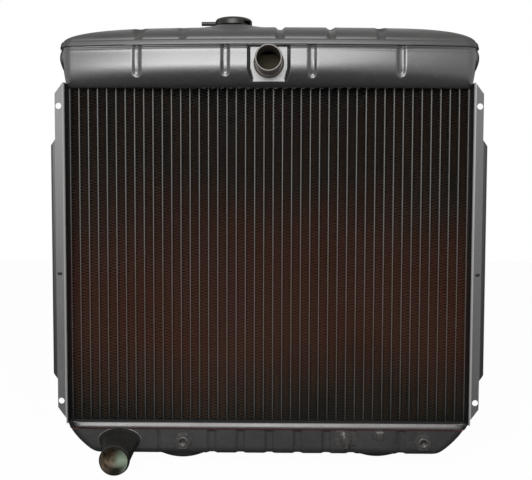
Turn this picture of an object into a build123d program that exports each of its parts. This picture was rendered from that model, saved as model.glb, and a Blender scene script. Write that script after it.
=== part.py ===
from build123d import *
import os
from math import cos, radians, sin

os.makedirs("parts", exist_ok=True)

# A copper and brass down-flow car radiator.
# Origin: centre of the four flange bolts, on the rear face of the side flanges.
# X runs across the car, -Y towards the engine, Z up. Millimetres.

# Sheets that the parts are pressed from.
tank_sheet = 1.2
header_sheet = 1.5
bracket_sheet = 1.5

# Core: flat tubes in rows, with corrugated fin strips between the columns.
tube_count = 44
tube_pitch = 14.29
tube_thick = 2.2
tube_depth = 16.0
tube_wall = 0.35
tube_stand_in = 3.0
row_names = ["front", "middle", "rear"]
row_pitch = 20.5
core_front = 28.5
core_half_height = 260.5
fin_setback = 1.2
fin_leg = 6.5
fin_sheet = 0.5
fin_end_gap = 0.6

# Top tank: a tub that flares from the header's collar up to the seam, and a domed lid.
header_margin = 4.0
collar_bow = 0.5
collar_radius = 6.0
collar_height = 4.0
top_rim_height = 2.8
tub_height = 55.0
seam_front = -4.3
seam_front_bow = 22.0
seam_rear = 103.0
seam_rear_bow = 8.0
seam_end_bow = 14.0
seam_radius = 8.0
flare_angle = 62.0
tub_lap = 6.0
skirt_height = 8.0
dome_step = 1.5
dome_rise = 27.3
dome_ridge = 50.0
dome_end_power = 0.35
dome_top_angle = 72.0

# Pressed channels: their places across the tank, width and depth.
tub_channels = [-199.0, -65.0, 65.0, 199.0]
tub_channel_width = 13.0
tub_channel_depth = 3.0
tub_channel_clear = 6.0
lid_channels = [-197.0, -129.5, 17.0, 94.0, 169.0]
lid_channel_width = 12.0
lid_channel_depth = 2.0

# Upper hose neck on its flat pad.
neck_pad_face = 5.0
neck_pad_half_width = 30.0
neck_pad_foot_half_width = 26.0
neck_pad_shoulder_drop = 35.0
neck_pad_clear = 2.4
upper_neck_drop = 26.5
upper_neck_radius = 19.05
upper_neck_reach = 49.0
neck_wall = 1.2
neck_inside = 3.0
bead_rise = 1.2
bead_width = 4.0
bead_setback = 5.0
collar_ring_width = 4.0
collar_ring_height = 3.5
baffle_width = 84.0
baffle_height = 44.0
baffle_gap = 1.0

# Filler neck, its seat on the lid and the overflow nipple.
filler_x = -55.0
filler_y = 50.5
filler_radius = 21.0
filler_wall = 1.5
filler_seat_rise = 1.2
filler_seat_radius = 26.0
filler_seat_foot_radius = 36.0
filler_seat_slope = 5.0
filler_inside = 14.2
filler_seat_bore = 14.0
filler_lip_radius = 28.0
filler_rise = 12.3
filler_lip_sheet = 1.6
filler_cam_drop = 10.5
filler_notch_width = 24.0
nipple_radius = 3.2
nipple_wall = 0.8
nipple_length = 29.0
nipple_drop = 7.0
nipple_root_radius = 4.2
nipple_root_length = 2.5

# Bottom header and bottom tank.
bottom_rim_height = 11.0
trough_straight = 12.5
trough_depth = 52.0
trough_end_slope = 45.5
trough_edge_radius = 9.0
trough_channels = [-88.0, -43.0, 2.5, 47.0, 92.0, 209.0]
trough_channel_width = 15.0
trough_channel_depth = 2.4
trough_channel_drop = 14.0
bulges = [(-132.0, 72.0, 9.5), (170.0, 60.0, 6.5)]
bulge_side_gap = 10.0

# Lower hose neck: an oval foot on the tank's wall, sweeping down into a round neck that points forward.
lower_neck_x = -232.5
lower_neck_drop = 32.0
lower_foot_half_width = 30.0
lower_foot_half_height = 16.5
lower_neck_radius = 22.2
lower_neck_flare = 28.5
lower_neck_fall = 15.5
lower_neck_straight = 24.0
lower_neck_slope = 3.0
lower_neck_toe = 1.5
lower_collar_width = 3.0
lower_collar_height = 2.5

# Oil cooler inside the bottom tank, with two threaded unions through the tank's front.
cooler_left = -133.0
cooler_right = 243.0
cooler_drop = 32.5
cooler_radius = 12.0
cooler_overrun = 16.0
cooler_y = 58.0
cooler_bore = 9.5
port_radius = 8.0
port_bore = 5.0
port_reach = 8.0
nut_across = 22.0
nut_thick = 5.0
gasket_radius = 13.0
gasket_thick = 1.5

# Sensor plug and drain cock.
plug_x = 175.0
plug_drop = 21.5
plug_bush_radius = 9.0
plug_bush_reach = 3.0
plug_bore = 6.0
plug_head_across = 11.0
plug_head_thick = 4.0
drain_x = 122.0
drain_drop = 26.0
drain_flange_half_width = 17.0
drain_flange_half_height = 11.0
drain_flange_thick = 2.0
drain_bush_radius = 8.0
drain_bush_reach = 8.0
drain_bush_inside = 8.0
drain_bore = 4.0
drain_seat_bore = 2.0
drain_seat_thick = 2.0
drain_spout_radius = 3.2
drain_spout_length = 7.0
screw_clearance = 0.05
seal_radius = 3.6
seal_thick = 3.0
wing_gap = 0.6
wing_hub_radius = 5.5
wing_thick = 3.2
wing_span = 23.0
wing_width = 9.0

# Side brackets: a web on the outermost tubes, a bolting flange in front and a short rear flange.
bolt_spacing_x = 634.0
bolt_spacing_z = 450.0
bolt_hole_radius = 4.6
flange_bend_radius = 2.5
flange_tab_width = 12.5
flange_wide_width = 19.5
flange_wide_top = 165.0
flange_wide_foot = -181.0
flange_step = 10.0
flange_foot_rise = 8.5
flange_corner_cut = 17.0
lip_depth = 6.0
lip_slot_height = 126.0
lip_slot_length = 14.0
lip_slot_width = 4.0
web_tail = 2.0
rear_flange_width = 10.0

# Worked out from the sizes above.
core_depth = (len(row_names) - 1) * row_pitch + tube_depth
core_rear = core_front + core_depth
core_half_width = (tube_count - 1) / 2 * tube_pitch + tube_thick / 2
web_outside = core_half_width + bracket_sheet
collar_front = core_front - header_margin
collar_rear = core_rear + header_margin
header_inside = core_half_height + header_sheet
tube_length = 2 * (header_inside + tube_stand_in)
flare_start = header_inside + collar_height
seam_height = header_inside + tub_height
tub_channel_foot = header_inside + tub_channel_clear
neck_pad_shoulder = seam_height - neck_pad_shoulder_drop
neck_pad_foot = header_inside + neck_pad_clear
upper_neck_height = seam_height - upper_neck_drop
dome_base = seam_height + skirt_height
dome_crest = dome_base + dome_rise * sin(radians(dome_top_angle))
filler_seat_height = dome_crest + filler_seat_rise
filler_foot = filler_seat_height - filler_inside
filler_lip_top = filler_seat_height + filler_rise
trough_top = -header_inside
trough_foot = trough_top - trough_depth
trough_channel_top = trough_top - trough_channel_drop
lower_neck_height = trough_top - lower_neck_drop
cooler_height = trough_top - cooler_drop
plug_height = trough_top - plug_drop
drain_height = trough_top - drain_drop
flange_foot = flange_foot_rise - core_half_height
wall_front = collar_front


def bowed_face(height, front, front_bow, rear, rear_bow, half_length, end_bow, radius):
    """Tank outline at a height: four bowed sides with rounded corners."""
    front_corner = front + front_bow
    rear_corner = rear - rear_bow
    middle = (front_corner + rear_corner) / 2
    with BuildSketch(Plane.XY.offset(height)) as outline:
        with BuildLine():
            ThreePointArc((-half_length, front_corner), (0, front), (half_length, front_corner))
            ThreePointArc((half_length, front_corner), (half_length + end_bow, middle), (half_length, rear_corner))
            ThreePointArc((half_length, rear_corner), (0, rear), (-half_length, rear_corner))
            ThreePointArc((-half_length, rear_corner), (-half_length - end_bow, middle), (-half_length, front_corner))
        make_face()
        fillet(outline.vertices(), radius)
    return outline.sketch


def tank_face(height, spread, inset):
    """Tank outline between the header's collar (spread 0) and the seam (spread 1)."""
    def between(collar, seam):
        return collar + spread * (seam - collar)

    return bowed_face(
        height,
        between(collar_front - collar_bow, seam_front) + inset,
        between(collar_bow, seam_front_bow),
        between(collar_rear + collar_bow, seam_rear) - inset,
        between(collar_bow, seam_rear_bow),
        web_outside - inset,
        between(collar_bow, seam_end_bow),
        between(collar_radius, seam_radius) - min(inset, 0.6 * collar_radius),
    )


def tank_prism(low, high, spread, inset):
    """Upright block with the tank's outline."""
    with BuildPart() as block:
        extrude(tank_face(low, spread, inset), amount=high - low)
    return block.part


def pressed_into(form, deeper_form, slabs):
    """Press channels into a form: inside the slabs it drops to the deeper form."""
    with BuildPart() as floor:
        add(deeper_form)
        add(slabs, mode=Mode.INTERSECT)
    with BuildPart() as pressed:
        add(form)
        add(slabs, mode=Mode.SUBTRACT)
        add(floor.part)
    return pressed.part


def channel_slabs(places, width, front, rear, low, high):
    """Slabs across the tank that mark where its channels are pressed."""
    with BuildPart() as slabs:
        with BuildSketch(Plane.XY.offset(low)):
            with Locations([(x, (front + rear) / 2) for x in places]):
                Rectangle(width, rear - front)
        extrude(amount=high - low)
    return slabs.part


# --- Top tank tub ---------------------------------------------------------------------------


def tub_flare(inset):
    """The tub's flared body: a quarter ellipse from the collar out to the upright seam."""
    full = radians(flare_angle)
    rise = (seam_height - flare_start) / sin(full)
    sections = []
    for part in range(5):
        angle = full * (1 - part / 4)
        spread = (cos(angle) - cos(full)) / (1 - cos(full))
        height = seam_height - (rise - inset) * sin(angle)
        sections.append(tank_face(height, spread, inset * cos(angle)))
    with BuildPart() as flare:
        loft(sections=sections)
    return flare.part


def tub_block(inset):
    """The tub as a solid, pressed in by inset all round."""
    slabs = channel_slabs(
        tub_channels, tub_channel_width + 2 * inset, seam_front - 20, core_front + 10,
        tub_channel_foot - inset, seam_height,
    )
    flare = pressed_into(tub_flare(inset), tub_flare(inset + tub_channel_depth), slabs)
    shoulder_half = neck_pad_half_width - inset
    foot_half = neck_pad_foot_half_width - inset
    foot = neck_pad_foot + inset
    face = neck_pad_face + inset
    with BuildPart() as tub:
        add(flare)
        with BuildSketch(Plane.XY.offset(foot)):
            with Locations((0, face - 20)):
                Rectangle(2 * (neck_pad_half_width + inset), 40)
        extrude(amount=seam_height - 1 - foot, mode=Mode.SUBTRACT)
        with BuildSketch(Plane.XZ.offset(-core_front - tube_depth)):
            with BuildLine():
                Polyline(
                    (-foot_half, foot), (foot_half, foot), (shoulder_half, neck_pad_shoulder),
                    (shoulder_half, seam_height - 1), (-shoulder_half, seam_height - 1),
                    (-shoulder_half, neck_pad_shoulder), close=True,
                )
            make_face()
        extrude(amount=core_front + tube_depth - face)
        add(tank_prism(header_inside, flare_start + inset, 0, inset))
        add(tank_prism(seam_height, seam_height + tub_lap, 1, inset))
    return tub.part


tub_outside = tub_block(0)
tub_inside = tub_block(tank_sheet)
neck_pad_plane = Plane(origin=(0, neck_pad_face, upper_neck_height), x_dir=(1, 0, 0), z_dir=(0, -1, 0))

with BuildPart() as top_tank_tub:
    add(tub_outside)
    add(tub_inside, mode=Mode.SUBTRACT)
    with BuildSketch(neck_pad_plane.offset(2)):
        Circle(upper_neck_radius)
    extrude(amount=-2 - 2 * tank_sheet, mode=Mode.SUBTRACT)

top_tank_tub.part.label = "top_tank_tub"
export_step(top_tank_tub.part, "parts/top_tank_tub.step")

# --- Top tank lid ---------------------------------------------------------------------------


def lid_dome(inset):
    """The lid's dome: outlines that draw in to the ridge as they rise."""
    step = dome_step + inset
    sections = []
    for part in range(5):
        angle = radians(dome_top_angle * part / 4)
        draw_in = cos(angle)
        reach_front = dome_ridge - seam_front - step
        reach_rear = seam_rear - dome_ridge - step
        front = dome_ridge - draw_in * reach_front
        rear = dome_ridge + draw_in * reach_rear
        half_length = (web_outside - step) * draw_in ** dome_end_power
        sections.append(
            bowed_face(
                dome_base + (dome_rise - inset) * sin(angle), front, draw_in * seam_front_bow,
                rear, draw_in * seam_rear_bow, half_length, draw_in * seam_end_bow,
                draw_in * (seam_radius - step),
            )
        )
    with BuildPart() as dome:
        loft(sections=sections)
    return dome.part


def lid_channels_cutter(inset):
    """What the lid's channels take away: all that stands over the dome at their floor."""
    sink = dome_step + lid_channel_depth + inset
    rise = dome_rise - lid_channel_depth - inset
    half_width = lid_channel_width / 2 + inset
    clear_front, clear_rear = seam_front - 20, seam_rear + 20
    clear_top = dome_base + 2 * dome_rise
    with BuildPart() as cutter:
        for x in lid_channels:
            bow = (x / web_outside) ** 2
            reach_front = dome_ridge - seam_front - seam_front_bow * bow - sink
            reach_rear = seam_rear - seam_rear_bow * bow - dome_ridge - sink
            with BuildSketch(Plane.YZ.offset(x - half_width)):
                with BuildLine():
                    EllipticalCenterArc((dome_ridge, dome_base), reach_rear, rise, start_angle=0, arc_size=90)
                    EllipticalCenterArc((dome_ridge, dome_base), reach_front, rise, start_angle=90, arc_size=90)
                    Polyline(
                        (dome_ridge - reach_front, dome_base), (clear_front, dome_base), (clear_front, clear_top),
                        (clear_rear, clear_top), (clear_rear, dome_base), (dome_ridge + reach_rear, dome_base),
                    )
                make_face()
            extrude(amount=2 * half_width)
    return cutter.part


def lid_block(inset):
    """The lid's dome as a solid with its channels and the raised filler seat."""
    with BuildPart() as lid:
        add(lid_dome(inset))
        add(lid_channels_cutter(inset), mode=Mode.SUBTRACT, clean=False)
        with Locations((filler_x, filler_y, filler_seat_height - inset)):
            Cone(
                filler_seat_foot_radius, filler_seat_radius, filler_seat_slope,
                align=(Align.CENTER, Align.CENTER, Align.MAX),
            )
    return lid.part


lid_outside = lid_block(0)
lid_inside = lid_block(tank_sheet)

with BuildPart() as top_tank_lid:
    add(tank_prism(seam_height, dome_base, 1, -tank_sheet))
    add(lid_outside)
    add(tank_prism(seam_height, seam_height + tub_lap, 1, 0), mode=Mode.SUBTRACT)
    add(tank_prism(seam_height + tub_lap, dome_base, 1, dome_step + tank_sheet), mode=Mode.SUBTRACT)
    add(lid_inside, mode=Mode.SUBTRACT)
    with Locations((filler_x, filler_y, filler_foot)):
        Cylinder(filler_radius, 40, align=(Align.CENTER, Align.CENTER, Align.MIN), mode=Mode.SUBTRACT)

top_tank_lid.part.label = "top_tank_lid"
export_step(top_tank_lid.part, "parts/top_tank_lid.step")

# --- Tubes and fins -------------------------------------------------------------------------


def tube_slots(row_y, trim):
    """The tubes' flat section at every column of one row, drawn in by trim."""
    with Locations((0, row_y)):
        with GridLocations(tube_pitch, 1, tube_count, 1):
            SlotOverall(tube_depth - 2 * trim, tube_thick - 2 * trim, rotation=90)


row_places = [core_front + tube_depth / 2 + row * row_pitch for row in range(len(row_names))]

for row_name, row_y in zip(row_names, row_places):
    with BuildPart() as tube_row:
        with BuildSketch(Plane.XY.offset(-tube_length / 2)):
            tube_slots(row_y, 0)
        extrude(amount=tube_length)
        with BuildSketch(Plane.XY.offset(-tube_length / 2)):
            tube_slots(row_y, tube_wall)
        extrude(amount=tube_length, mode=Mode.SUBTRACT)
    tube_row.part.label = f"tubes_{row_name}_row"
    export_step(tube_row.part, f"parts/tubes_{row_name}_row.step")

fin_half_width = (tube_pitch - tube_thick) / 2
fin_half_height = core_half_height - fin_end_gap
fin_leg_count = 2 * round(fin_half_height / fin_leg)
fold_heights = [fin_half_height * (2 * fold / fin_leg_count - 1) for fold in range(fin_leg_count + 1)]
fold_sides = [1 if fold % 2 else -1 for fold in range(fin_leg_count + 1)]

with BuildPart() as fin_strip:
    with BuildSketch(Plane.XZ.offset(-core_rear + fin_setback)):
        Polygon(
            *[(side * (fin_half_width - fin_sheet / 2) + fin_sheet / 2, z) for side, z in zip(fold_sides, fold_heights)],
            *[(side * (fin_half_width - fin_sheet / 2) - fin_sheet / 2, z)
              for side, z in reversed(list(zip(fold_sides, fold_heights)))],
            align=None,
        )
    extrude(amount=core_depth - 2 * fin_setback)

# One strip stands in every gap between two columns of tubes.
strip_places = [(gap - (tube_count - 2) / 2) * tube_pitch for gap in range(tube_count - 1)]
fin_strips = Compound([fin_strip.part.solid().moved(Location((x, 0, 0))) for x in strip_places])
fin_strips.label = "fin_strips"
export_step(fin_strips, "parts/fin_strips.step")

# --- Headers --------------------------------------------------------------------------------


def tube_plate(low, rim_low, rim_high):
    """A header: a slotted plate with its rim turned round the tank's collar."""
    rim_outside = tank_prism(min(low, rim_low), max(low + header_sheet, rim_high), 0, -header_sheet)
    rim_inside = tank_prism(rim_low, rim_high, 0, 0)
    with BuildPart() as plate:
        add(rim_outside)
        add(rim_inside, mode=Mode.SUBTRACT)
        with BuildSketch(Plane.XY.offset(low)):
            for row_y in row_places:
                tube_slots(row_y, 0)
        extrude(amount=header_sheet, mode=Mode.SUBTRACT)
    return plate.part


with BuildPart() as top_header:
    add(tube_plate(core_half_height, header_inside, core_half_height + top_rim_height))

top_header.part.label = "top_header"
export_step(top_header.part, "parts/top_header.step")

with BuildPart() as bottom_header:
    add(tube_plate(-header_inside, -core_half_height - bottom_rim_height, -header_inside))

bottom_header.part.label = "bottom_header"
export_step(bottom_header.part, "parts/bottom_header.step")

# --- Bottom tank ----------------------------------------------------------------------------


def trough_form(inset):
    """The trough: upright front and rear, slanted ends and rounded lower edges."""
    foot = trough_foot + inset
    top_half = web_outside - inset
    foot_half = top_half - trough_end_slope
    slope_foot = trough_top - trough_straight
    depth = collar_rear - collar_front - 2 * inset
    with BuildPart() as trough:
        with BuildSketch(Plane.XY.offset(foot)):
            with Locations((0, (collar_front + collar_rear) / 2)):
                RectangleRounded(2 * top_half, depth, collar_radius - min(inset, 0.6 * collar_radius))
        extrude(amount=trough_top - foot)
        with BuildSketch(Plane.XZ.offset(-collar_rear - 10)):
            for side in (-1, 1):
                with BuildLine():
                    Polyline(
                        (side * foot_half, foot), (side * top_half, slope_foot),
                        (side * (top_half + 10), slope_foot), (side * (top_half + 10), foot - 5),
                        (side * foot_half, foot - 5), close=True,
                    )
                make_face()
        extrude(amount=collar_rear - collar_front + 20, mode=Mode.SUBTRACT)
        fillet(trough.faces().sort_by(Axis.Z)[0].edges().filter_by(Axis.X), trough_edge_radius - inset)
    return trough.part


def trough_block(inset):
    """The trough as a solid with its pressed channels and its bulges."""
    slabs = channel_slabs(
        trough_channels, trough_channel_width + 2 * inset, collar_front - 10, collar_rear + 10,
        trough_foot - 10, trough_channel_top + inset,
    )
    with BuildPart() as trough:
        add(pressed_into(trough_form(inset), trough_form(inset + trough_channel_depth), slabs))
        with BuildSketch(Plane.XZ.offset(-collar_rear + bulge_side_gap + inset)):
            for bulge_x, bulge_width, bulge_drop in bulges:
                half = bulge_width / 2 - inset
                root = trough_foot + inset
                with BuildLine():
                    ThreePointArc(
                        (bulge_x - half, root), (bulge_x, root - bulge_drop), (bulge_x + half, root),
                    )
                    Polyline(
                        (bulge_x + half, root), (bulge_x + half, root + 1), (bulge_x - half, root + 1),
                        (bulge_x - half, root),
                    )
                make_face()
        extrude(amount=collar_rear - collar_front - 2 * (bulge_side_gap + inset))
    return trough.part


trough_outside = trough_block(0)
trough_inside = trough_block(tank_sheet)


def wall_plane(x, height):
    """Plane on the bottom tank's front wall, looking out."""
    return Plane(origin=(x, wall_front, height), x_dir=(1, 0, 0), z_dir=(0, -1, 0))


with BuildPart() as bottom_tank:
    add(trough_outside)
    add(trough_inside, mode=Mode.SUBTRACT)
    for x, height, radius in [
        (cooler_left, cooler_height, port_radius),
        (cooler_right, cooler_height, port_radius),
        (plug_x, plug_height, plug_bush_radius - plug_bush_reach),
        (drain_x, drain_height, drain_bush_radius),
    ]:
        with BuildSketch(wall_plane(x, height).offset(5)):
            Circle(radius)
        extrude(amount=-12, mode=Mode.SUBTRACT)
    with BuildSketch(wall_plane(lower_neck_x, lower_neck_height).offset(5)):
        Ellipse(lower_foot_half_width, lower_foot_half_height)
    extrude(amount=-12, mode=Mode.SUBTRACT)

bottom_tank.part.label = "bottom_tank"
export_step(bottom_tank.part, "parts/bottom_tank.step")

# --- Side brackets --------------------------------------------------------------------------

flange_root = web_outside - bracket_sheet
tab_edge = web_outside + flange_tab_width
wide_edge = web_outside + flange_wide_width

with BuildPart() as right_side_bracket:
    with BuildSketch(Plane.XY.offset(-core_half_height)) as channel:
        with BuildLine():
            FilletPolyline(
                (wide_edge - bracket_sheet / 2, lip_depth - bracket_sheet),
                (wide_edge - bracket_sheet / 2, -bracket_sheet / 2),
                (web_outside - bracket_sheet / 2, -bracket_sheet / 2),
                (web_outside - bracket_sheet / 2, core_rear + web_tail),
                (web_outside + rear_flange_width, core_rear + web_tail),
                radius=flange_bend_radius,
            )
        trace(line_width=bracket_sheet)
    extrude(amount=2 * core_half_height)
    # The flange's ends are narrow tabs, and its lip runs along the wide middle only.
    with BuildSketch(Plane.XZ.offset(-lip_depth - 2)):
        with BuildLine():
            Polyline(
                (tab_edge, core_half_height + 2), (tab_edge, flange_wide_top + flange_step),
                (wide_edge, flange_wide_top), (wide_edge, flange_wide_foot),
                (tab_edge, flange_wide_foot - flange_step), (tab_edge, -core_half_height - 2),
                (wide_edge + 5, -core_half_height - 2), (wide_edge + 5, core_half_height + 2), close=True,
            )
        make_face()
        with BuildLine():
            Polyline(
                (flange_root + bracket_sheet, core_half_height), (tab_edge + 1, core_half_height),
                (tab_edge + 1, core_half_height - flange_corner_cut - 1), (tab_edge, core_half_height - flange_corner_cut),
                close=True,
            )
        make_face()
        with BuildLine():
            Polyline(
                (flange_root + bracket_sheet, flange_foot), (tab_edge, flange_foot + flange_corner_cut),
                (tab_edge + 1, flange_foot + flange_corner_cut), (tab_edge + 1, -core_half_height - 2),
                (flange_root + bracket_sheet, -core_half_height - 2), close=True,
            )
        make_face()
    extrude(amount=2 * lip_depth + 4, mode=Mode.SUBTRACT)
    with BuildSketch(Plane.XZ.offset(bracket_sheet + 1)):
        with GridLocations(bolt_spacing_x, bolt_spacing_z, 2, 2):
            Circle(bolt_hole_radius)
    extrude(amount=-bracket_sheet - 2, mode=Mode.SUBTRACT)

left_bracket_blank = mirror(right_side_bracket.part, about=Plane.YZ)

with BuildPart() as left_side_bracket:
    add(left_bracket_blank)
    # Oval slot in the left lip.
    with BuildSketch(Plane.YZ.offset(-wide_edge - 2)):
        with Locations((lip_depth / 2, lip_slot_height)):
            SlotOverall(lip_slot_length, lip_slot_width, rotation=90)
    extrude(amount=bracket_sheet + 4, mode=Mode.SUBTRACT)

for bracket, name in [(right_side_bracket, "right_side_bracket"), (left_side_bracket, "left_side_bracket")]:
    bracket.part.label = name
    export_step(bracket.part, f"parts/{name}.step")

# --- Upper hose neck ------------------------------------------------------------------------

upper_neck_axis = Axis((0, neck_pad_face, upper_neck_height), (0, -1, 0))
upper_neck_profile = Plane(origin=(0, neck_pad_face, upper_neck_height), x_dir=(1, 0, 0), z_dir=(0, 0, -1))


bead_middle = upper_neck_reach - bead_setback

with BuildPart() as upper_hose_neck:
    with BuildSketch(upper_neck_profile):
        with BuildLine():
            Polyline(
                (upper_neck_radius, bead_middle - bead_width / 2),
                (upper_neck_radius, -tank_sheet - neck_inside),
                (upper_neck_radius - neck_wall, -tank_sheet - neck_inside),
                (upper_neck_radius - neck_wall, upper_neck_reach),
                (upper_neck_radius, upper_neck_reach),
                (upper_neck_radius, bead_middle + bead_width / 2),
            )
            ThreePointArc(
                (upper_neck_radius, bead_middle + bead_width / 2), (upper_neck_radius + bead_rise, bead_middle),
                (upper_neck_radius, bead_middle - bead_width / 2),
            )
        make_face()
    revolve(axis=upper_neck_axis)

upper_hose_neck.part.label = "upper_hose_neck"
export_step(upper_hose_neck.part, "parts/upper_hose_neck.step")

with BuildPart() as upper_neck_collar:
    with BuildSketch(neck_pad_plane) as foot_ring:
        Circle(upper_neck_radius + collar_ring_width)
        Circle(upper_neck_radius, mode=Mode.SUBTRACT)
    extrude(amount=collar_ring_height)
    outer_rim = upper_neck_collar.faces().sort_by(Axis.Y)[0].edges().sort_by(SortBy.RADIUS)[-1]
    chamfer(outer_rim, 0.7 * collar_ring_height, 0.7 * collar_ring_width)

upper_neck_collar.part.label = "upper_neck_collar"
export_step(upper_neck_collar.part, "parts/upper_neck_collar.step")

with BuildPart() as upper_neck_baffle:
    with BuildSketch(Plane.XY.offset(header_inside)):
        with Locations((0, collar_front + tank_sheet + baffle_gap / 2 + tank_sheet / 2)):
            Rectangle(baffle_width, tank_sheet)
    extrude(amount=baffle_height)

upper_neck_baffle.part.label = "upper_neck_baffle"
export_step(upper_neck_baffle.part, "parts/upper_neck_baffle.step")

# --- Lower hose neck ------------------------------------------------------------------------

lower_foot_plane = wall_plane(lower_neck_x, lower_neck_height)
lower_direction = (
    sin(radians(lower_neck_toe)),
    -cos(radians(lower_neck_toe)) * cos(radians(lower_neck_slope)),
    -sin(radians(lower_neck_slope)),
)
lower_turn = Vector(lower_neck_x, wall_front - lower_neck_flare, lower_neck_height - lower_neck_fall)
lower_mouth_plane = Plane(origin=lower_turn, x_dir=(cos(radians(lower_neck_toe)), sin(radians(lower_neck_toe)), 0),
                          z_dir=lower_direction)


def lower_neck_solid(inset):
    """The lower neck filled solid: oval inside the tank wall, then flared to a round neck."""
    with BuildSketch(lower_foot_plane) as foot:
        Ellipse(lower_foot_half_width - inset, lower_foot_half_height - inset)
    with BuildSketch(lower_mouth_plane) as turn:
        Circle(lower_neck_radius - inset)
    with BuildPart() as neck:
        loft(sections=[foot.sketch, turn.sketch])
        extrude(foot.sketch, amount=-tank_sheet - neck_inside)
        extrude(turn.sketch, amount=lower_neck_straight)
    return neck.part


lower_neck_outside = lower_neck_solid(0)
lower_neck_inside = lower_neck_solid(neck_wall)

with BuildPart() as lower_hose_neck:
    add(lower_neck_outside)
    with BuildSketch(lower_mouth_plane.offset(lower_neck_straight - bead_setback - bead_width / 2)):
        Circle(lower_neck_radius + bead_rise)
    extrude(amount=bead_width)
    add(lower_neck_inside, mode=Mode.SUBTRACT)
    bead_edges = lower_hose_neck.edges().filter_by(GeomType.CIRCLE)
    bead_rims = [edge for edge in bead_edges if edge.radius > lower_neck_radius + bead_rise / 2]
    chamfer(bead_rims, 0.9 * bead_rise)

lower_hose_neck.part.label = "lower_hose_neck"
export_step(lower_hose_neck.part, "parts/lower_hose_neck.step")

with BuildPart() as lower_neck_collar:
    with BuildSketch(lower_foot_plane):
        Ellipse(lower_foot_half_width + lower_collar_width, lower_foot_half_height + lower_collar_width)
    extrude(amount=lower_collar_height)
    add(lower_neck_outside, mode=Mode.SUBTRACT)

lower_neck_collar.part.label = "lower_neck_collar"
export_step(lower_neck_collar.part, "parts/lower_neck_collar.step")

# --- Filler neck and overflow nipple --------------------------------------------------------

filler_axis = Axis((filler_x, filler_y, 0), (0, 0, 1))
nipple_height = filler_lip_top - nipple_drop
nipple_start = filler_x - filler_radius

with BuildPart() as filler_neck:
    with BuildSketch(Plane.XZ.offset(-filler_y)):
        with BuildLine():
            Polyline(
                (filler_x + filler_seat_bore, filler_foot),
                (filler_x + filler_radius, filler_foot),
                (filler_x + filler_radius, filler_lip_top - filler_lip_sheet),
                (filler_x + filler_lip_radius - filler_lip_sheet, filler_lip_top - filler_lip_sheet),
                (filler_x + filler_lip_radius - filler_lip_sheet, filler_lip_top - filler_cam_drop),
                (filler_x + filler_lip_radius, filler_lip_top - filler_cam_drop),
                (filler_x + filler_lip_radius, filler_lip_top),
                (filler_x + filler_radius - filler_wall, filler_lip_top),
                (filler_x + filler_radius - filler_wall, filler_foot + filler_wall),
                (filler_x + filler_seat_bore, filler_foot + filler_wall),
                close=True,
            )
        make_face()
    revolve(axis=filler_axis)
    # Two notches in the cam lip let the cap's ears in.
    with BuildSketch(Plane.XY.offset(filler_lip_top - filler_cam_drop - 1)):
        for side in (-1, 1):
            with Locations((filler_x + side * filler_lip_radius, filler_y)):
                Rectangle(2 * (filler_lip_radius - filler_radius) - filler_wall, filler_notch_width)
    extrude(amount=filler_cam_drop + 1 - filler_lip_sheet, mode=Mode.SUBTRACT)
    with BuildSketch(Plane.YZ.offset(nipple_start - 3)):
        with Locations((filler_y, nipple_height)):
            Circle(nipple_radius)
    extrude(amount=filler_wall + 6, mode=Mode.SUBTRACT)

filler_neck.part.label = "filler_neck"
export_step(filler_neck.part, "parts/filler_neck.step")

with BuildPart() as overflow_nipple:
    with BuildSketch(Plane.YZ.offset(nipple_start + filler_wall)):
        with Locations((filler_y, nipple_height)):
            Circle(nipple_radius)
            Circle(nipple_radius - nipple_wall, mode=Mode.SUBTRACT)
    extrude(amount=-nipple_length - filler_wall)
    # A ring of solder at its root, against the filler neck's round wall.
    with BuildPart(mode=Mode.PRIVATE) as root_ring:
        with BuildSketch(Plane.YZ.offset(nipple_start + filler_wall)):
            with Locations((filler_y, nipple_height)):
                Circle(nipple_root_radius)
                Circle(nipple_radius, mode=Mode.SUBTRACT)
        extrude(amount=-nipple_root_length - filler_wall)
        with Locations((filler_x, filler_y, filler_foot)):
            Cylinder(filler_radius, 2 * filler_rise + filler_inside,
                     align=(Align.CENTER, Align.CENTER, Align.MIN), mode=Mode.SUBTRACT)
    add(root_ring.part)

overflow_nipple.part.label = "overflow_nipple"
export_step(overflow_nipple.part, "parts/overflow_nipple.step")

# --- Oil cooler -----------------------------------------------------------------------------

cooler_start = cooler_left - cooler_overrun
cooler_end = cooler_right + cooler_overrun

with BuildPart() as oil_cooler_core:
    with BuildSketch(Plane.YZ.offset(cooler_start)):
        with Locations((cooler_y, cooler_height)):
            Circle(cooler_radius)
    extrude(amount=cooler_end - cooler_start)
    with BuildSketch(Plane.YZ.offset(cooler_start + neck_wall)):
        with Locations((cooler_y, cooler_height)):
            Circle(cooler_bore)
    extrude(amount=cooler_end - cooler_start - 2 * neck_wall, mode=Mode.SUBTRACT)
    with BuildSketch(Plane.XZ.offset(-cooler_y)):
        with Locations((cooler_left, cooler_height), (cooler_right, cooler_height)):
            Circle(port_bore)
    extrude(amount=cooler_radius + 2, mode=Mode.SUBTRACT)

oil_cooler_core.part.label = "oil_cooler_core"
export_step(oil_cooler_core.part, "parts/oil_cooler_core.step")

cooler_flat = cooler_y - cooler_radius

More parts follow.
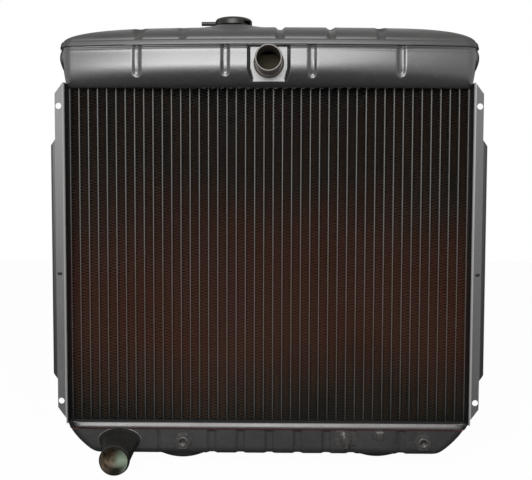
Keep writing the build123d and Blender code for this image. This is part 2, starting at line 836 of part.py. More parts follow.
for side_name, port_x in [("left", cooler_left), ("right", cooler_right)]:
    port_wall = wall_plane(port_x, cooler_height)
    with BuildPart() as port:
        with BuildSketch(port_wall.offset(port_reach)):
            Circle(port_radius)
            Circle(port_bore, mode=Mode.SUBTRACT)
        extrude(amount=-port_reach - cooler_y + wall_front)
        with BuildSketch(Plane.YZ.offset(port_x - port_radius - 2)):
            with Locations((cooler_y, cooler_height)):
                Circle(cooler_radius)
        extrude(amount=2 * port_radius + 4, mode=Mode.SUBTRACT)
        mouth = port.faces().sort_by(Axis.Y)[0].edges()
        chamfer(mouth, 0.8)
    port.part.label = f"oil_cooler_{side_name}_port"
    export_step(port.part, f"parts/oil_cooler_{side_name}_port.step")

    with BuildPart() as nut:
        with BuildSketch(port_wall.offset(gasket_thick)):
            RegularPolygon(nut_across / 2, 6, major_radius=False)
            Circle(port_radius, mode=Mode.SUBTRACT)
        extrude(amount=nut_thick)
    nut.part.label = f"oil_cooler_{side_name}_nut"
    export_step(nut.part, f"parts/oil_cooler_{side_name}_nut.step")

with BuildPart() as oil_cooler_gaskets:
    for port_x in (cooler_left, cooler_right):
        with BuildSketch(wall_plane(port_x, cooler_height)):
            Circle(gasket_radius)
            Circle(port_radius, mode=Mode.SUBTRACT)
    extrude(amount=gasket_thick)

oil_cooler_gaskets.part.label = "oil_cooler_gaskets"
export_step(oil_cooler_gaskets.part, "parts/oil_cooler_gaskets.step")

# --- Sensor plug ----------------------------------------------------------------------------

plug_wall = wall_plane(plug_x, plug_height)

with BuildPart() as sensor_bush:
    with BuildSketch(plug_wall):
        Circle(plug_bush_radius)
    extrude(amount=plug_bush_reach)
    with BuildSketch(plug_wall):
        Circle(plug_bush_radius - plug_bush_reach)
    extrude(amount=-tank_sheet - 1)
    with BuildSketch(plug_wall.offset(plug_bush_reach)):
        Circle(plug_bore - 1)
    extrude(amount=-plug_bush_reach - tank_sheet - 1, mode=Mode.SUBTRACT)

sensor_bush.part.label = "sensor_bush"
export_step(sensor_bush.part, "parts/sensor_bush.step")

with BuildPart() as sensor_plug:
    with BuildSketch(plug_wall.offset(plug_bush_reach)):
        Rectangle(plug_head_across, plug_head_across)
    extrude(amount=plug_head_thick)
    chamfer(sensor_plug.faces().sort_by(Axis.Y)[0].edges(), 0.8)
    with BuildSketch(plug_wall.offset(plug_bush_reach)):
        Circle(plug_bore - 1)
    extrude(amount=-plug_bush_reach - tank_sheet - 1)

sensor_plug.part.label = "sensor_plug"
export_step(sensor_plug.part, "parts/sensor_plug.step")

# --- Drain cock -----------------------------------------------------------------------------

drain_wall = wall_plane(drain_x, drain_height)
drain_length = drain_bush_reach + drain_bush_inside

with BuildPart() as drain_cock_body:
    with BuildSketch(drain_wall):
        RectangleRounded(2 * drain_flange_half_width, 2 * drain_flange_half_height, 5)
    extrude(amount=drain_flange_thick)
    with BuildSketch(drain_wall.offset(drain_bush_reach)):
        Circle(drain_bush_radius)
    extrude(amount=-drain_length)
    with BuildSketch(Plane.XY.offset(drain_height)):
        with Locations((drain_x, wall_front - drain_bush_reach + drain_spout_radius)):
            Circle(drain_spout_radius)
    extrude(amount=-drain_bush_radius - drain_spout_length)
    with BuildSketch(Plane.XY.offset(drain_height)):
        with Locations((drain_x, wall_front - drain_bush_reach + drain_spout_radius)):
            Circle(drain_seat_bore)
    extrude(amount=-drain_bush_radius - drain_spout_length, mode=Mode.SUBTRACT)
    with BuildSketch(drain_wall.offset(drain_bush_reach)):
        Circle(drain_bore)
    extrude(amount=drain_seat_thick - drain_length, mode=Mode.SUBTRACT)
    with BuildSketch(drain_wall.offset(drain_bush_reach)):
        Circle(drain_seat_bore)
    extrude(amount=-drain_length, mode=Mode.SUBTRACT)

drain_cock_body.part.label = "drain_cock_body"
export_step(drain_cock_body.part, "parts/drain_cock_body.step")

seat_plane = drain_wall.offset(drain_seat_thick - drain_bush_inside)

with BuildPart() as drain_cock_seal:
    with BuildSketch(seat_plane):
        Circle(seal_radius)
    extrude(amount=seal_thick)

drain_cock_seal.part.label = "drain_cock_seal"
export_step(drain_cock_seal.part, "parts/drain_cock_seal.step")

with BuildPart() as drain_cock_stem:
    with BuildSketch(seat_plane.offset(seal_thick)):
        Circle(drain_bore - screw_clearance)
    extrude(amount=drain_length - drain_seat_thick - seal_thick + wing_gap)
    with BuildSketch(drain_wall.offset(drain_bush_reach + wing_gap)):
        Circle(wing_hub_radius)
    extrude(amount=wing_width)
    with BuildSketch(drain_wall.offset(drain_bush_reach + wing_gap + 1)):
        Rectangle(wing_thick, wing_span)
    extrude(amount=wing_width)

drain_cock_stem.part.label = "drain_cock_stem"
export_step(drain_cock_stem.part, "parts/drain_cock_stem.step")

# --- Solder ---------------------------------------------------------------------------------

solder_height = 0.8


def solder_ring(low, spread, sheet, tank_outside):
    """A thin fillet of solder run round a tank, against the edge of the outer sheet."""
    with BuildPart() as ring:
        add(tank_prism(low, low + solder_height, spread, -sheet))
        add(tank_prism(low, low + solder_height, spread, 0), mode=Mode.SUBTRACT)
        add(tank_outside, mode=Mode.SUBTRACT)
    return ring.part


for name, low, spread, sheet, tank_outside in [
    ("seam_solder", seam_height - solder_height, 1, tank_sheet, tub_outside),
    ("top_header_solder", core_half_height + top_rim_height, 0, header_sheet, tub_outside),
    ("bottom_header_solder", -core_half_height - bottom_rim_height - solder_height, 0, header_sheet,
     trough_outside),
]:
    ring = solder_ring(low, spread, sheet, tank_outside)
    ring.label = name
    export_step(ring, f"parts/{name}.step")
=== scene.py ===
from math import cos, pi, radians, sin, sqrt

import bmesh
import bpy
from mathutils import Matrix, Vector


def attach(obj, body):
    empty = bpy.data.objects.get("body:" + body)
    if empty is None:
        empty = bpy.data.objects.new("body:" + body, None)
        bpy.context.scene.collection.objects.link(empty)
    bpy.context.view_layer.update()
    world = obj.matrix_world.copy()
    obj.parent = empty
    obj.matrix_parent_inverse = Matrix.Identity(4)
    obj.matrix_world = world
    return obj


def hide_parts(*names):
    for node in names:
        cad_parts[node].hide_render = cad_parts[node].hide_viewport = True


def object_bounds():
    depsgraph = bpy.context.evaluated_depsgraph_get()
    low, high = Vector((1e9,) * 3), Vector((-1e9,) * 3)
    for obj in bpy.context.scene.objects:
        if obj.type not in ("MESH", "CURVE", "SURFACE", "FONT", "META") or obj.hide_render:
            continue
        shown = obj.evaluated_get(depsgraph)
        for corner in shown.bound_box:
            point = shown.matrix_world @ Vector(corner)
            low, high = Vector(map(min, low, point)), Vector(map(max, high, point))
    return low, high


# A copper and brass down-flow car radiator, painted black, seen from the engine's side.
# The frame: metres, +Z up, -Y towards the engine, the origin midway between the four flange bolts.
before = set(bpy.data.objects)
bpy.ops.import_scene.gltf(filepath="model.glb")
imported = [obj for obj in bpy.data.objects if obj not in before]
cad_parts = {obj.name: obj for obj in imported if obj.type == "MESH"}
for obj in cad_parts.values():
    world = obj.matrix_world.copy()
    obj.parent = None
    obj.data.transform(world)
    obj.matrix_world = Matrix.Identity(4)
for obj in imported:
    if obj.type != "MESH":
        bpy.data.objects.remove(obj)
cad_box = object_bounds()

# --- Top tank tub -------------------------------------------------------------------------------
# The tub is one pressed brass sheet, sprayed black, which bulges a little below the seam and
# rolls under to the header's collar. Four channels stiffen its front, and a flat pad stands at
# the middle for the hose neck.
brass = (0.52, 0.33, 0.14)
dust_colour = (0.16, 0.145, 0.13)


def feed(tree, value, socket):
    """Set an input to a plain value, or link it to the output that gives it."""
    if isinstance(value, bpy.types.NodeSocket):
        tree.links.new(value, socket)
    else:
        socket.default_value = value


def calculate(tree, operation, *values, clamp=False):
    """A Math node's result."""
    node = tree.nodes.new("ShaderNodeMath")
    node.operation = operation
    node.use_clamp = clamp
    for value, socket in zip(values, node.inputs):
        feed(tree, value, socket)
    return node.outputs["Value"]


def noise(tree, place, scale, detail, roughness=0.6):
    """A grey noise over the place given."""
    node = tree.nodes.new("ShaderNodeTexNoise")
    node.inputs["Scale"].default_value = scale
    node.inputs["Detail"].default_value = detail
    node.inputs["Roughness"].default_value = roughness
    tree.links.new(place, node.inputs["Vector"])
    return node.outputs["Fac"]


def ramp(tree, value, low, high):
    """A mask that is 0 where the value is at low and 1 where it is at high."""
    node = tree.nodes.new("ShaderNodeMapRange")
    node.inputs["From Min"].default_value = low
    node.inputs["From Max"].default_value = high
    tree.links.new(value, node.inputs["Value"])
    return node.outputs["Result"]


def mix_colour(tree, share, first, second):
    """The first colour where the share is 0, the second where it is 1."""
    node = tree.nodes.new("ShaderNodeMix")
    node.data_type = "RGBA"
    share_input, first_input, second_input, colour_output = 0, 6, 7, 2
    feed(tree, share, node.inputs[share_input])
    for colour, number in ((first, first_input), (second, second_input)):
        feed(tree, (*colour, 1) if isinstance(colour, tuple) else colour, node.inputs[number])
    return node.outputs[colour_output]


def paint_finish_group():
    """Sprayed paint: fine orange peel, a haze of dust, and chips where the metal shows."""
    group = bpy.data.node_groups.new("paint_finish", "ShaderNodeTree")
    for name, kind, value in (("Paint", "NodeSocketColor", (0.02, 0.02, 0.02, 1)),
                              ("Dust", "NodeSocketColor", (0.2, 0.18, 0.16, 1)),
                              ("Metal", "NodeSocketColor", (0.4, 0.2, 0.1, 1)),
                              ("Dust Amount", "NodeSocketFloat", 0.3),
                              ("Chip Amount", "NodeSocketFloat", 0.2),
                              ("Gloss Roughness", "NodeSocketFloat", 0.3),
                              ("Peel", "NodeSocketFloat", 0.1)):
        group.interface.new_socket(name, in_out="INPUT", socket_type=kind).default_value = value
    for name, kind in (("Colour", "NodeSocketColor"), ("Roughness", "NodeSocketFloat"),
                       ("Normal", "NodeSocketVector")):
        group.interface.new_socket(name, in_out="OUTPUT", socket_type=kind)
    given = group.nodes.new("NodeGroupInput").outputs
    result = group.nodes.new("NodeGroupOutput").inputs
    place = group.nodes.new("ShaderNodeTexCoord").outputs["Object"]
    facing = group.nodes.new("ShaderNodeSeparateXYZ")
    group.links.new(group.nodes.new("ShaderNodeNewGeometry").outputs["Normal"], facing.inputs[0])
    # Dust lies in soft clouds on faces that look up, and in fine specks all over.
    clouds = ramp(group, noise(group, place, scale=9.0, detail=5.0), low=0.35, high=0.72)
    facing_up = ramp(group, facing.outputs["Z"], low=-0.2, high=1.0)
    settled = calculate(group, "MULTIPLY", clouds, facing_up)
    specks = ramp(group, noise(group, place, scale=420.0, detail=2.0), low=0.56, high=0.78)
    speck_strength = 0.5
    speckled = calculate(group, "MULTIPLY", specks, speck_strength)
    dusty = calculate(group, "ADD", settled, speckled, clamp=True)
    dust = calculate(group, "MULTIPLY", dusty, given["Dust Amount"])
    dusted = mix_colour(group, dust, given["Paint"], given["Dust"])
    # Chips are rare, small and sharp edged.
    grit = noise(group, place, scale=160.0, detail=4.0, roughness=0.7)
    chips = ramp(group, grit, low=0.70, high=0.74)
    chipped = calculate(group, "MULTIPLY", chips, given["Chip Amount"])
    group.links.new(mix_colour(group, chipped, dusted, given["Metal"]), result["Colour"])
    dust_roughness = 0.8
    rough = calculate(group, "MULTIPLY_ADD", dust, dust_roughness, given["Gloss Roughness"])
    group.links.new(rough, result["Roughness"])
    bump = group.nodes.new("ShaderNodeBump")
    bump.inputs["Distance"].default_value = 0.0004
    group.links.new(given["Peel"], bump.inputs["Strength"])
    orange_peel = noise(group, place, scale=260.0, detail=2.0, roughness=0.5)
    group.links.new(orange_peel, bump.inputs["Height"])
    group.links.new(bump.outputs["Normal"], result["Normal"])
    return group


paint_finish = paint_finish_group()


def painted(name, paint, metal, dust_amount, chip_amount, roughness, peel,
            dust=dust_colour, coat=0.0, specular=0.5):
    """A painted metal: the shared finish feeding its own Principled shader."""
    material = bpy.data.materials.new(name)
    material.use_nodes = True
    tree = material.node_tree
    shader = tree.nodes["Principled BSDF"]
    finish = tree.nodes.new("ShaderNodeGroup")
    finish.name = "finish"
    finish.node_tree = paint_finish
    for socket, value in (("Paint", (*paint, 1)), ("Dust", (*dust, 1)), ("Metal", (*metal, 1)),
                          ("Dust Amount", dust_amount), ("Chip Amount", chip_amount),
                          ("Gloss Roughness", roughness), ("Peel", peel)):
        finish.inputs[socket].default_value = value
    for effect, socket in (("Colour", "Base Color"), ("Roughness", "Roughness"), ("Normal", "Normal")):
        tree.links.new(finish.outputs[effect], shader.inputs[socket])
    shader.inputs["Specular IOR Level"].default_value = specular
    shader.inputs["Coat Weight"].default_value = coat
    shader.inputs["Coat Roughness"].default_value = 0.25
    return material


tank_paint = painted("tank_paint", paint=(0.017, 0.017, 0.018), metal=brass, dust_amount=0.35,
                     chip_amount=0.25, roughness=0.30, peel=0.12, coat=0.3, specular=0.8)

# A tank's outline from above is its half length, its front and how far that bows in towards
# the ends, its rear and how far that bows in, and how far its ends bow out.
tank_half_length, seam_end_bow = 0.309835, 0.014
seam_outline = (tank_half_length, -0.0043, 0.022, 0.103, 0.008, seam_end_bow)
collar_outline = (tank_half_length, 0.024, 0.008, 0.090, 0.001, 0.001)
seam_corner, collar_corner = 0.008, 0.006
outline_pieces = (("front", 480), ("corner", 10), ("right", 36), ("corner", 10),
                  ("rear", 240), ("corner", 10), ("left", 36), ("corner", 10))
outline_count = sum(count for _, count in outline_pieces)
sheet_thickness = 0.0012
merge_distance = 1e-7


def bowed_side(side, t, half_length, front, front_bow, rear, rear_bow, end_bow):
    """A point on one bowed side of a tank's outline, t running from 0 to 1 round the tank."""
    across = 2 * t - 1
    middle = (front + front_bow + rear - rear_bow) / 2
    half_depth = (rear - rear_bow - front - front_bow) / 2
    if side == "front":
        return Vector((across * half_length, front + front_bow * across ** 2, 0))
    if side == "rear":
        return Vector((-across * half_length, rear - rear_bow * across ** 2, 0))
    reach = half_length + end_bow * (1 - across ** 2)
    if side == "right":
        return Vector((reach, middle + across * half_depth, 0))
    return Vector((-reach, middle - across * half_depth, 0))


def tank_outline(index, corner, sizes):
    """Point number index round a tank's outline, whose corners are rounded."""
    half_length, front, front_bow, rear, rear_bow, _ = sizes
    length, depth = 2 * half_length, rear - rear_bow - front - front_bow
    trim = {"front": corner / length, "right": corner / depth,
            "rear": corner / length, "left": corner / depth}
    sides = list(trim)
    for number, (kind, count) in enumerate(outline_pieces):
        if index < count:
            break
        index -= count
    t = index / count
    side = sides[number // 2]
    if kind != "corner":
        return bowed_side(side, trim[side] + t * (1 - 2 * trim[side]), *sizes)
    after = sides[(number // 2 + 1) % 4]
    first = bowed_side(side, 1 - trim[side], *sizes)
    last = bowed_side(after, trim[after], *sizes)
    return first * (1 - t) ** 2 + bowed_side(side, 1, *sizes) * 2 * t * (1 - t) + last * t * t


def wrapped_sheet(rings, place, around=outline_count):
    """A flat grid of faces wrapped round into a tube: place gives each vertex its point."""
    bm = bmesh.new()
    bmesh.ops.create_grid(bm, x_segments=around, y_segments=rings, size=1.0)
    for vertex in bm.verts:
        index = round((vertex.co.x + 1) / 2 * around) % around
        vertex.co = place(index, round((vertex.co.y + 1) / 2 * rings))
    bmesh.ops.remove_doubles(bm, verts=bm.verts, dist=merge_distance)
    return bm


def wall_with_hole(bm, in_hole):
    """Cut a hole in a flat sheet, where in_hole is true of a face's middle, and thicken the rest."""
    hole = [face for face in bm.faces if in_hole(face.calc_center_median())]
    bmesh.ops.delete(bm, geom=hole, context="FACES")
    bmesh.ops.solidify(bm, geom=bm.faces[:], thickness=sheet_thickness)


def ease(value):
    """0 below 0 and 1 above 1, with a soft start and end between them."""
    value = min(max(value, 0.0), 1.0)
    return value * value * (3 - 2 * value)


def groove(distance, half_width, steepness):
    """The share of a pressed channel's depth at a distance from its middle."""
    return ease(steepness * (1 - distance / half_width))


def finished_piece(name, bm, material, body="root", sharp=38.0):
    """Turn a bmesh into a piece of the object: outward faces, smooth but for its sharp edges."""
    bmesh.ops.recalc_face_normals(bm, faces=bm.faces)
    for face in bm.faces:
        face.smooth = True
    for edge in bm.edges:
        if len(edge.link_faces) == 2 and edge.calc_face_angle(0) > radians(sharp):
            edge.smooth = False
    mesh = bpy.data.meshes.new(name)
    bm.to_mesh(mesh)
    bm.free()
    mesh.materials.append(material)
    piece = bpy.data.objects.new(name, mesh)
    bpy.context.scene.collection.objects.link(piece)
    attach(piece, body)
    return piece


# Each channel in the front: its place along the tank and the height of its round foot.
tub_channels = ((-0.199, 0.269), (-0.065, 0.269), (0.065, 0.266), (0.199, 0.269))
channel_half_width, channel_depth, tank_channel_steepness = 0.0078, 0.0034, 1.35
pad_face, pad_half_width, pad_foot_half_width = 0.005, 0.030, 0.026
pad_shoulder, pad_foot, pad_wall, pad_least_out = 0.282, 0.2618, 0.0050, 0.5
# Low down the front narrows by a small share of its length.
narrowing_share, narrowing_level, narrowing_height = 0.002, 0.285, 0.025
# The rear wall bulges no further back than this.
tub_rear = 0.1032
# How far round a front corner the front's shape turns into the end's, in corner lengths.
corner_blend = 1.6
# The wall's shape from the collar up to the seam: how far out it stands, and its height.
front_profile = ((0.0, 0.2620), (0.08, 0.2568), (0.20, 0.2551), (0.36, 0.2545), (0.54, 0.2556),
                 (0.70, 0.2592), (0.82, 0.2647), (0.91, 0.2713), (0.97, 0.2785), (1.0, 0.2860),
                 (0.995, 0.2930), (0.975, 0.3000), (0.945, 0.3068), (0.945, 0.3094),
                 (0.915, 0.3116), (0.82, 0.3124), (0.85, 0.3158), (0.85, 0.3230))
end_profile = ((0.0, 0.2620), (0.04, 0.2632), (0.08, 0.2648), (0.14, 0.2665), (0.22, 0.2688),
               (0.31, 0.2715), (0.42, 0.2745), (0.54, 0.2775), (0.67, 0.2808), (0.82, 0.2845),
               (0.96, 0.2885), (1.09, 0.2935), (1.20, 0.2990), (1.22, 0.3045),
               (1.17, 0.3092), (1.07, 0.3125), (1.0, 0.3150), (1.0, 0.3230))
rings_per_step = 3
tub_rings = rings_per_step * (len(front_profile) - 1)
seam_share = front_profile[-1][0]


def along(profile, ring):
    """The profile's point at a ring, on a smooth curve through its given points."""
    step, share = divmod(ring, rings_per_step)
    last = len(profile) - 1
    before, start, end, after = (Vector(profile[min(max(step + shift, 0), last)])
                                 for shift in (-1, 0, 1, 2))
    t = share / rings_per_step
    return 0.5 * (2 * start + (end - before) * t + (2 * before - 5 * start + 4 * end - after) * t ** 2
                  + (3 * start - before - 3 * end + after) * t ** 3)


def front_share(index):
    """1 on the tank's front, 0 on its ends and rear, blending round the front corners."""
    front, corner = outline_pieces[0][1], outline_pieces[1][1]
    if index < front:
        return 1.0
    from_front = min(index - front, outline_count - index)
    return ease(corner_blend - from_front / corner)


def tub_point(index, ring):
    """A point of the tub's wall, from the collar at ring 0 up to the seam."""
    seam = tank_outline(index, seam_corner, seam_outline)
    collar = tank_outline(index, collar_corner, collar_outline)
    share = front_share(index)
    out, level = along(end_profile, ring).lerp(along(front_profile, ring), share)
    stretch = 1 + share * (1 / seam_share - 1)
    point = collar.lerp(seam, out * stretch)
    if share == 1:
        for x, foot in tub_channels:
            beside = abs(point.x - x)
            below = max(foot + channel_half_width - level, 0.0)
            reach = sqrt(beside ** 2 + below ** 2)
            point.y += channel_depth * groove(reach, channel_half_width, tank_channel_steepness)
        shoulder = ease((level - pad_foot) / (pad_shoulder - pad_foot))
        half_width = pad_foot_half_width + shoulder * (pad_half_width - pad_foot_half_width)
        below_lap = ring < tub_rings - rings_per_step
        if level > pad_foot and out > pad_least_out and below_lap:
            flat = ease((half_width - abs(point.x)) / pad_wall + 0.5)
            point.y += flat * (pad_face - point.y)
    point.x *= 1 - narrowing_share * share * ease((narrowing_level - level) / narrowing_height)
    point.y = min(point.y, tub_rear)
    point.z = level
    return point


neck_level, neck_hole, neck_hole_rear = 0.2905, 0.0185, 0.012


def in_neck_hole(point):
    from_neck = Vector((point.x, point.z - neck_level)).length
    return point.y < neck_hole_rear and from_neck < neck_hole


bm = wrapped_sheet(tub_rings, tub_point)
wall_with_hole(bm, in_neck_hole)
tub = finished_piece("tub", bm, tank_paint)
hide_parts("top_tank_tub")

# --- Top tank lid -------------------------------------------------------------------------------
# The lid is a shallow pressed brass dome with a skirt that laps over the tub's edge and is
# soldered there. Five channels cross it, and a raised round seat carries the filler neck.
# The lid's paint is a darker copy of the tank's, with darker dust, as painted shade on the dome.
shaded_lid_paint = painted("shaded_lid_paint", paint=(0.015, 0.015, 0.015), dust=(0.09, 0.082, 0.075), metal=brass,
                    dust_amount=0.3, chip_amount=0.2, roughness=0.34, peel=0.12, specular=0.55)
lid_base, lid_step, lid_rise = 0.325, 0.0015, 0.0254
lid_ridge, lid_half_depth = 0.050, 0.0535
# The higher its power, the more an end is rounded off.
lid_left_power, lid_right_power, lid_top_angle = 0.68, 0.45, radians(72.0)
crest_rise, crest_reach = 0.0006, 0.995
# Each channel across the lid: its place along the tank and its depth.
lid_channels = ((-0.197, 0.0020), (-0.1295, 0.0014), (0.017, 0.0040), (0.094, 0.0044), (0.169, 0.0040))
lid_channel_half_width, lid_channel_side_press, lid_channel_start = 0.0078, 0.6, 9
filler_x, filler_y = -0.055, 0.0505
seat_level, seat_radius, seat_half_length, seat_half_depth = 0.35216, 0.026, 0.054, 0.043
# The skirt's rolled edge: the height of each ring and how far out it stands.
skirt_rings = ((0.3160, 0.0002), (0.3163, 0.0015), (0.3172, 0.0023), (0.3186, 0.0023), (0.3205, 0.0018),
               (0.3225, 0.0014), (0.3240, 0.0010), (0.3249, 0.0003), (0.3252, -0.0006))
skirt_rear_share = 0.4
dome_rings, crest_rings = 26, 8


def lid_point(index, ring):
    """A point of the lid: the skirt's rings, then the dome's, then those of its flat crest."""
    outline = tank_outline(index, seam_corner, seam_outline)
    if ring < len(skirt_rings):
        level, out = skirt_rings[ring]
        from_ridge = outline.y - lid_ridge
        out_in_depth = out if from_ridge < 0 else skirt_rear_share * out
        return Vector((outline.x * (1 + out / (tank_half_length + seam_end_bow)),
                       lid_ridge + from_ridge * (1 + out_in_depth / lid_half_depth), level))
    rise = (ring - len(skirt_rings)) / dome_rings
    end_power = lid_right_power if outline.x > 0 else lid_left_power
    if rise <= 1:
        angle = lid_top_angle * rise
        draw_in = cos(angle)
        level = lid_base + lid_rise * sin(angle)
        length_share = draw_in ** end_power
    else:
        inward = (ring - len(skirt_rings) - dome_rings) / crest_rings
        draw_in = cos(lid_top_angle) * (1 - crest_reach * inward)
        level = lid_base + lid_rise * sin(lid_top_angle) + crest_rise * (1 - (1 - inward) ** 2)
        length_share = cos(lid_top_angle) ** end_power
    start_x = outline.x * (tank_half_length - lid_step) / tank_half_length
    start_y = lid_ridge + (outline.y - lid_ridge) * (1 - lid_step / lid_half_depth)
    point = Vector((start_x * length_share, lid_ridge + (start_y - lid_ridge) * draw_in, level))
    for x, depth in lid_channels:
        beside = abs(point.x - x)
        press = depth * groove(beside, lid_channel_half_width, tank_channel_steepness)
        press *= ease(rise * lid_channel_start)
        to_ridge = 1 if point.y < lid_ridge else -1
        point.z -= press
        point.y += press * lid_channel_side_press * to_ridge * (1 - sin(min(rise, 1) * pi / 2))
    from_filler = Vector((point.x - filler_x, point.y - filler_y))
    past_seat = Vector((from_filler.x / seat_half_length, from_filler.y / seat_half_depth)).length
    lengthwise = abs(from_filler.x) > abs(from_filler.y)
    seat_share = seat_radius / (seat_half_length if lengthwise else seat_half_depth)
    on_seat = from_filler.length < seat_radius
    lift = 1.0 if on_seat else ease((1 - past_seat) / (1 - seat_share))
    point.z = max(point.z, point.z + lift * (seat_level - point.z))
    return point


bm = wrapped_sheet(len(skirt_rings) + dome_rings + crest_rings, lid_point)
lid = finished_piece("lid", bm, shaded_lid_paint)
wall = lid.modifiers.new("wall", "SOLIDIFY")
wall.thickness, wall.offset = sheet_thickness, -1.0
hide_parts("top_tank_lid")

# --- Filler neck ---------------------------------------------------------------------------------
# The filler neck is a spun brass tube with a rolled lip, soldered on the lid's seat. Two notches
# in the lip's skirt let the cap's ears in.
neck_paint = painted("neck_paint", paint=(0.009, 0.009, 0.008), dust=(0.05, 0.045, 0.04), metal=brass,
                     dust_amount=0.25, chip_amount=0.4, roughness=0.30, peel=0.15, specular=0.25)
filler_top = 0.3644
# Both sections are the radius and the height from the neck's top.
neck_section = ((0.0228, -0.0249), (0.0228, -0.0070), (0.0224, -0.0046), (0.0262, -0.0046),
                (0.0284, -0.0058), (0.0286, -0.0046), (0.0278, -0.0026), (0.0262, -0.0011),
                (0.0240, -0.0002), (0.0218, 0.0), (0.0208, -0.0004), (0.0203, -0.0016),
                (0.0203, -0.0249))
skirt_section = ((0.0272, -0.0108), (0.0286, -0.0108), (0.0286, -0.0046), (0.0270, -0.0046))
notch_turn, notch_half_angle = radians(-38), radians(17)
neck_steps, skirt_steps = 72, 30


def spun(bm, section, start, angle, steps):
    """A closed section turned about the filler's axis, with closed ends where it stops short."""
    corners = [bm.verts.new((filler_x + radius * cos(start), filler_y + radius * sin(start),
                             filler_top + rise)) for radius, rise in section]
    loop = [bm.edges.new(pair) for pair in zip(corners, corners[1:] + corners[:1])]
    bmesh.ops.spin(bm, geom=corners + loop, cent=(filler_x, filler_y, 0), axis=(0, 0, 1),
                   angle=angle, steps=steps, use_merge=angle >= 2 * pi)
    bmesh.ops.holes_fill(bm, edges=[edge for edge in bm.edges if edge.is_boundary])


bm = bmesh.new()
spun(bm, neck_section, 0, 2 * pi, neck_steps)
for turn in (notch_turn, notch_turn + pi):
    spun(bm, skirt_section, turn + notch_half_angle, pi - 2 * notch_half_angle, skirt_steps)
filler = finished_piece("filler", bm, neck_paint, sharp=50.0)
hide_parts("filler_neck")

# --- Core ---------------------------------------------------------------------------------------
# Three rows of flat brass tubes are soldered into the two headers, with strips of thin folded copper
# between them. The spray is thin here: brown copper shows through it on the strips, which are left black
# just under the top tank as painted shade, and a band of red painted light shines through them below the
# middle. The tubes are painted grey at the top and near black below, as painted light, and their feet
# are near black.
copper = (0.42, 0.17, 0.09)


def object_place(tree):
    """Where a point of the surface lies on the object, and that place's X, Y and Z."""
    place = tree.nodes.new("ShaderNodeTexCoord").outputs["Object"]
    axes = tree.nodes.new("ShaderNodeSeparateXYZ")
    tree.links.new(place, axes.inputs[0])
    return place, axes.outputs


def finish_node(name, material):
    """A CAD node's own solid, in its finish."""
    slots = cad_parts[name].data.materials
    slots.clear()
    slots.append(material)


tube_paint = painted("core_tube_paint", paint=(0.045, 0.042, 0.040), metal=brass, dust_amount=0.5,
                     chip_amount=0.15, roughness=0.42, peel=0.2)
tube_shaded_black, tube_lit_grey = (0.014, 0.012, 0.010), (0.046, 0.043, 0.040)
tube_warm_brown, tube_foot_black = (0.030, 0.017, 0.013), (0.005, 0.005, 0.005)
tree = tube_paint.node_tree
_, axes = object_place(tree)
# Painted light: the tubes go from near black at the bottom to grey at the top.
upper = ramp(tree, axes["Z"], low=-0.28, high=0.26)
shaded_tube_tone = mix_colour(tree, upper, tube_shaded_black, tube_lit_grey)
above_foot = ramp(tree, axes["Z"], low=-0.24, high=-0.16)
below_middle = ramp(tree, axes["Z"], low=0.10, high=-0.05)
warmed = calculate(tree, "MULTIPLY", above_foot, below_middle)
shaded_tube_tone = mix_colour(tree, warmed, shaded_tube_tone, tube_warm_brown)
# The tubes' feet are painted near black.
at_tube_foot = ramp(tree, axes["Z"], low=-0.236, high=-0.258)
shaded_tube_tone = mix_colour(tree, at_tube_foot, shaded_tube_tone, tube_foot_black)
tree.links.new(shaded_tube_tone, tree.nodes["finish"].inputs["Paint"])

# Painted shade: a near-black finish for parts that stand in shadow.
core_shade = painted("core_shade", paint=(0.006, 0.006, 0.006), dust=(0.02, 0.018, 0.016), metal=copper,
                     dust_amount=0.3, chip_amount=0.2, roughness=0.5, peel=0.3, specular=0.2)
for name in ("tubes_front_row", "tubes_middle_row", "tubes_rear_row"):
    finish_node(name, tube_paint)
# The headers are painted near black, as painted shade between the tanks and the core.
for name in ("top_header", "bottom_header"):
    finish_node(name, core_shade)

tube_pitch, tube_thickness, tube_columns = 0.01429, 0.0022, 44
fin_copper = painted("fin_copper", paint=(0.012, 0.011, 0.008), dust=(0.03, 0.02, 0.015), metal=copper,
                     dust_amount=0.3, chip_amount=0.2, roughness=0.5, peel=0.2, specular=0.25)
fin_black_and_shade, fin_brown, fin_lit_red = (0.011, 0.011, 0.009), (0.040, 0.021, 0.012), (0.062, 0.023, 0.014)
drift_height = 0.22
streak_scale = (900.0, 20.0, 12.0)
tree = fin_copper.node_tree
place, axes = object_place(tree)
# The tones change with the height, and slow clouds lift and lower the places where they change.
clouds = noise(tree, place, scale=3.5, detail=3.0)
height = calculate(tree, "MULTIPLY_ADD", clouds, drift_height, axes["Z"])
# Brown shows in upright streaks down the middle of each strip.
columns = calculate(tree, "MULTIPLY", axes["X"], 1 / tube_pitch)
from_tube = calculate(tree, "PINGPONG", columns, 0.5)
middle = ramp(tree, from_tube, low=0.40, high=0.12)
stretch = tree.nodes.new("ShaderNodeMapping")
stretch.inputs["Scale"].default_value = streak_scale
tree.links.new(place, stretch.inputs["Vector"])
streaks = ramp(tree, noise(tree, stretch.outputs[0], scale=1.0, detail=2.0), low=0.35, high=0.55)
brown_and_shade_mask = calculate(tree, "MULTIPLY", middle, streaks)
# The brown stops just below the top tank, where the strips stay black as painted shade under the tank's
# overhang, and it fades out low down.
brown_and_shade_mask = calculate(tree, "MULTIPLY", brown_and_shade_mask, ramp(tree, height, low=0.365, high=0.345))
brown_and_shade_mask = calculate(tree, "MULTIPLY", brown_and_shade_mask, ramp(tree, height, low=-0.15, high=-0.08))
brown_paint = mix_colour(tree, brown_and_shade_mask, fin_black_and_shade, fin_brown)
# A band below the middle shows red copper: the copper is the strips' own, and the band is painted light
# shining through the core.
rising = ramp(tree, height, low=-0.10, high=0.0)
falling = ramp(tree, height, low=0.22, high=0.11)
red_light_band = calculate(tree, "MULTIPLY", rising, falling)
tree.links.new(mix_colour(tree, red_light_band, brown_paint, fin_lit_red), tree.nodes["finish"].inputs["Paint"])

